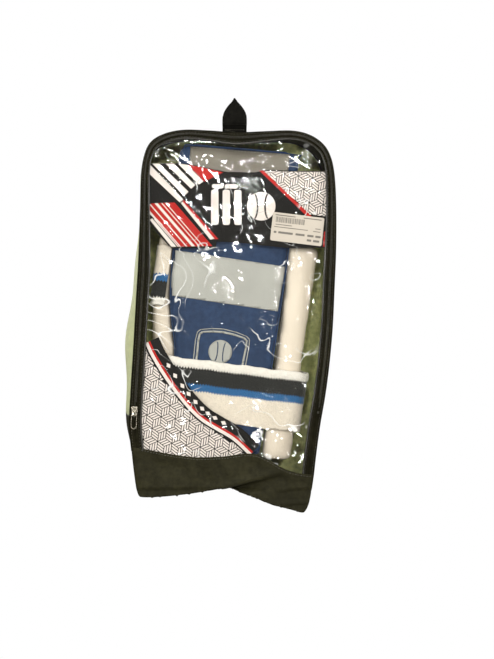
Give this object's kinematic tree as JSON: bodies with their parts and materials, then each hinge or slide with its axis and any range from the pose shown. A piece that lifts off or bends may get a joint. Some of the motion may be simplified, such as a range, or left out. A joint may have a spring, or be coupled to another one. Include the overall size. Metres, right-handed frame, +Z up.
{
  "type": "cricket thigh pad in zipped carry bag",
  "caption": "Strapped batting thigh pad packed in its own clear-fronted zipped carry bag, hung by a webbing loop; the front folds down on its lower seam.",
  "frame": {"origin": "the hook point: the inside of the hanging loop's crest, where a peg carries the bag", "axes": "+X to the viewer's right across the front, +Y from the clear front to the back, +Z up along the hanging bag"},
  "size_m": [0.2328, 0.0856, 0.4558],
  "materials": {
    "black_cloth": "dull coated polyester, olive black",
    "loop_webbing": "woven black webbing",
    "lime_cloth": "pale lime green coated cloth",
    "clear_vinyl": "clear glossy soft vinyl film, wrinkled",
    "print_black": "ink printed behind the film, with red and white graphics",
    "label_paper": null,
    "zip_tape": "woven zip tape, olive black",
    "zip_nylon": "moulded nylon coil, black",
    "welt_vinyl": "glossy black welt",
    "nickel": "nickel-plated die casting, worn",
    "navy_facing": "navy blue coated cloth facing",
    "silver_vinyl": "satin silver vinyl",
    "white_vinyl": "cream white synthetic leather",
    "towelling": "white towelling",
    "foam": "closed-cell foam",
    "shield_board": "moulded high-density sheet",
    "strap_elastic": "woven elastic, striped white, blue and black, brushed face",
    "hook_tape": "hook-and-loop tape"
  },
  "bodies": {
    "bag": {"back_panel": "black_cloth", "top_gusset": "black_cloth", "left_gusset": "lime_cloth", "right_gusset": "lime_cloth", "base_gusset": "black_cloth", "loop_patch": "black_cloth", "hang_loop": "loop_webbing", "foot_yoke": "black_cloth", "lower_border_left": "black_cloth", "lower_border_right": "black_cloth", "lower_window": "clear_vinyl", "corner_print_lower": "print_black", "lower_piping": "welt_vinyl", "back_piping": "welt_vinyl", "zip_tape_outer": "zip_tape", "zip_coil_outer": "zip_nylon", "zip_stops": "nickel"},
    "front_panel": {"window_panel": "clear_vinyl", "banner_print": "print_black", "corner_print": "print_black", "price_sticker": "label_paper", "zip_tape_inner": "zip_tape", "zip_coil_inner": "zip_nylon", "front_piping": "welt_vinyl"},
    "zip_slider": {"slider_body": "nickel"},
    "zip_pull": {"pull_tab": "nickel"},
    "thigh_pad": {"centre_cover": "navy_facing", "shock_shield": "shield_board", "centre_foam": "foam", "centre_lining": "towelling", "silver_band": "silver_vinyl", "silver_top_patch": "silver_vinyl", "badge": "silver_vinyl", "right_wing_cover": "white_vinyl", "right_wing_foam": "foam", "right_wing_lining": "towelling", "left_wing_cover": "white_vinyl", "left_wing_foam": "foam", "left_wing_lining": "towelling", "lower_strap": "strap_elastic", "lower_hook_patch": "hook_tape", "lower_strap_tail": "strap_elastic", "upper_strap": "strap_elastic", "upper_hook_patch": "hook_tape"}
  },
  "joints": [
    {"name": "front_fold", "type": "hinge", "parent": "bag", "child": "front_panel", "pos_m": [0, -0.045, -0.326], "axis": [1, 0, 0], "range_deg": [0, 165]},
    {"name": "pad_lean", "type": "hinge", "parent": "bag", "child": "thigh_pad", "pos_m": [0, -0.0373, -0.326], "axis": [1, 0, 0], "range_deg": [0, 22]},
    {"name": "slider_run", "type": "slide", "parent": "bag", "child": "zip_slider", "axis": [0.0471, 0, 0.9989], "range_m": [0, 0.18]},
    {"name": "pull_swing", "type": "hinge", "parent": "zip_slider", "child": "zip_pull", "pos_m": [-0.11131, -0.0443, -0.3355], "axis": [-0.9989, 0, 0.0471], "range_deg": [0, 170]}
  ],
  "couplings": [
    {"joint": "pad_lean", "follows": "front_fold", "ratio": 0.13333}
  ]
}
